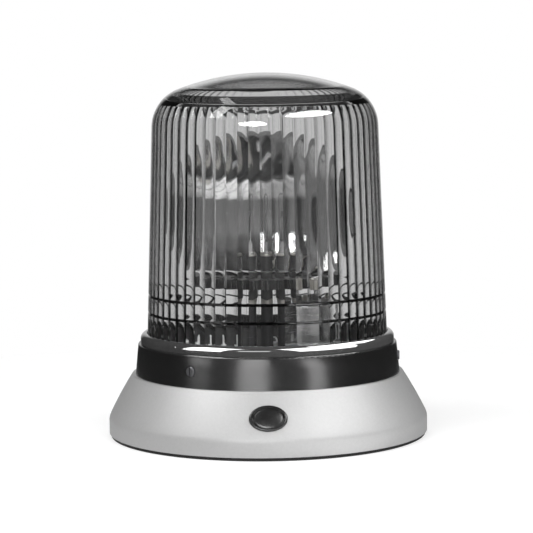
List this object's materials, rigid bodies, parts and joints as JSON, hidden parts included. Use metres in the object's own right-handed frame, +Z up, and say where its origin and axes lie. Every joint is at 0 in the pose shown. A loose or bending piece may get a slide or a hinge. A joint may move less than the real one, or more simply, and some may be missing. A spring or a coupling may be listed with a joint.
{
  "type": "rotating beacon",
  "caption": "Rotating beacon: fluted clear lens with black clamp ring on a flared cast base, holding a motor-driven parabolic reflector that turns about a fixed lamp.",
  "frame": {"origin": "centre of the underside of the base mat, on the beacon's axis", "axes": "+Z up along the axis of the lens and the rotor, -Y towards the front with the oval plug, +X to the right seen from the front"},
  "size_m": [0.202, 0.202, 0.228],
  "materials": {
    "base_paint": "satin light grey paint on a casting, fine grain",
    "black_gloss": "gloss black moulding",
    "black_rubber": "matt black rubber",
    "lens_clear": "clear plastic lens, fluted inside",
    "zinc_steel": "zinc plated",
    "bright_steel": "bright steel",
    "brass": "turned brass",
    "mirror_metal": "bright vacuum metallised dish",
    "lamp_glass": "clear quartz glass",
    "tungsten": "coiled wire",
    "nylon": "natural nylon",
    "black_plastic": "matt black moulding",
    "white_plastic": "off-white moulding",
    "aluminium_can": "drawn aluminium"
  },
  "bodies": {
    "base": {"base_housing": "base_paint", "base_gasket": "black_rubber", "badge_plug": "black_gloss", "cable_grommet": "black_rubber", "dome_seal": "black_rubber", "chassis_plate": "zinc_steel", "chassis_screws": "zinc_steel", "lamp_column": "zinc_steel", "column_screws": "zinc_steel", "thrust_washer": "brass", "retaining_clip": "bright_steel", "lamp_holder": "black_plastic", "lamp_seat": "brass", "lamp_cap": "bright_steel", "lamp_glass": "lamp_glass", "lamp_filament": "tungsten", "motor_body": "bright_steel", "motor_cap": "black_plastic", "motor_tags": "brass", "motor_sleeve": "black_rubber", "motor_cup": "zinc_steel", "motor_screws": "zinc_steel", "terminal_block": "white_plastic", "terminal_screws": "brass", "suppressor": "aluminium_can"},
    "lens_cover": {"dome_lens": "lens_clear", "lens_ring": "black_gloss", "clamp_band": "black_gloss", "ring_screws": "bright_steel"},
    "rotor": {"rotor_gear": "nylon", "rotor_bush": "brass", "reflector": "mirror_metal", "reflector_bracket": "zinc_steel", "bracket_screws": "zinc_steel", "reflector_screws": "zinc_steel"},
    "motor_drive": {"motor_shaft": "bright_steel", "pinion": "brass"},
    "clip": {"lamp_clip": "bright_steel"}
  },
  "joints": [
    {"name": "rotor_spin", "type": "hinge", "parent": "base", "child": "rotor", "pos_m": [0, 0, 0.094], "axis": [0, 0, 1], "continuous": true},
    {"name": "motor_spin", "type": "hinge", "parent": "base", "child": "motor_drive", "pos_m": [0.02551, -0.03486, 0.09], "axis": [0, 0, 1], "continuous": true},
    {"name": "lens_lift", "type": "slide", "parent": "base", "child": "lens_cover", "axis": [0, 0, 1], "range_m": [0, 0.17]},
    {"name": "clip_swing", "type": "hinge", "parent": "base", "child": "clip", "pos_m": [0, 0.0094, 0.11584], "axis": [-1, 0, 0], "range_deg": [0, 100]}
  ],
  "couplings": [
    {"joint": "motor_spin", "follows": "rotor_spin", "ratio": -8}
  ]
}
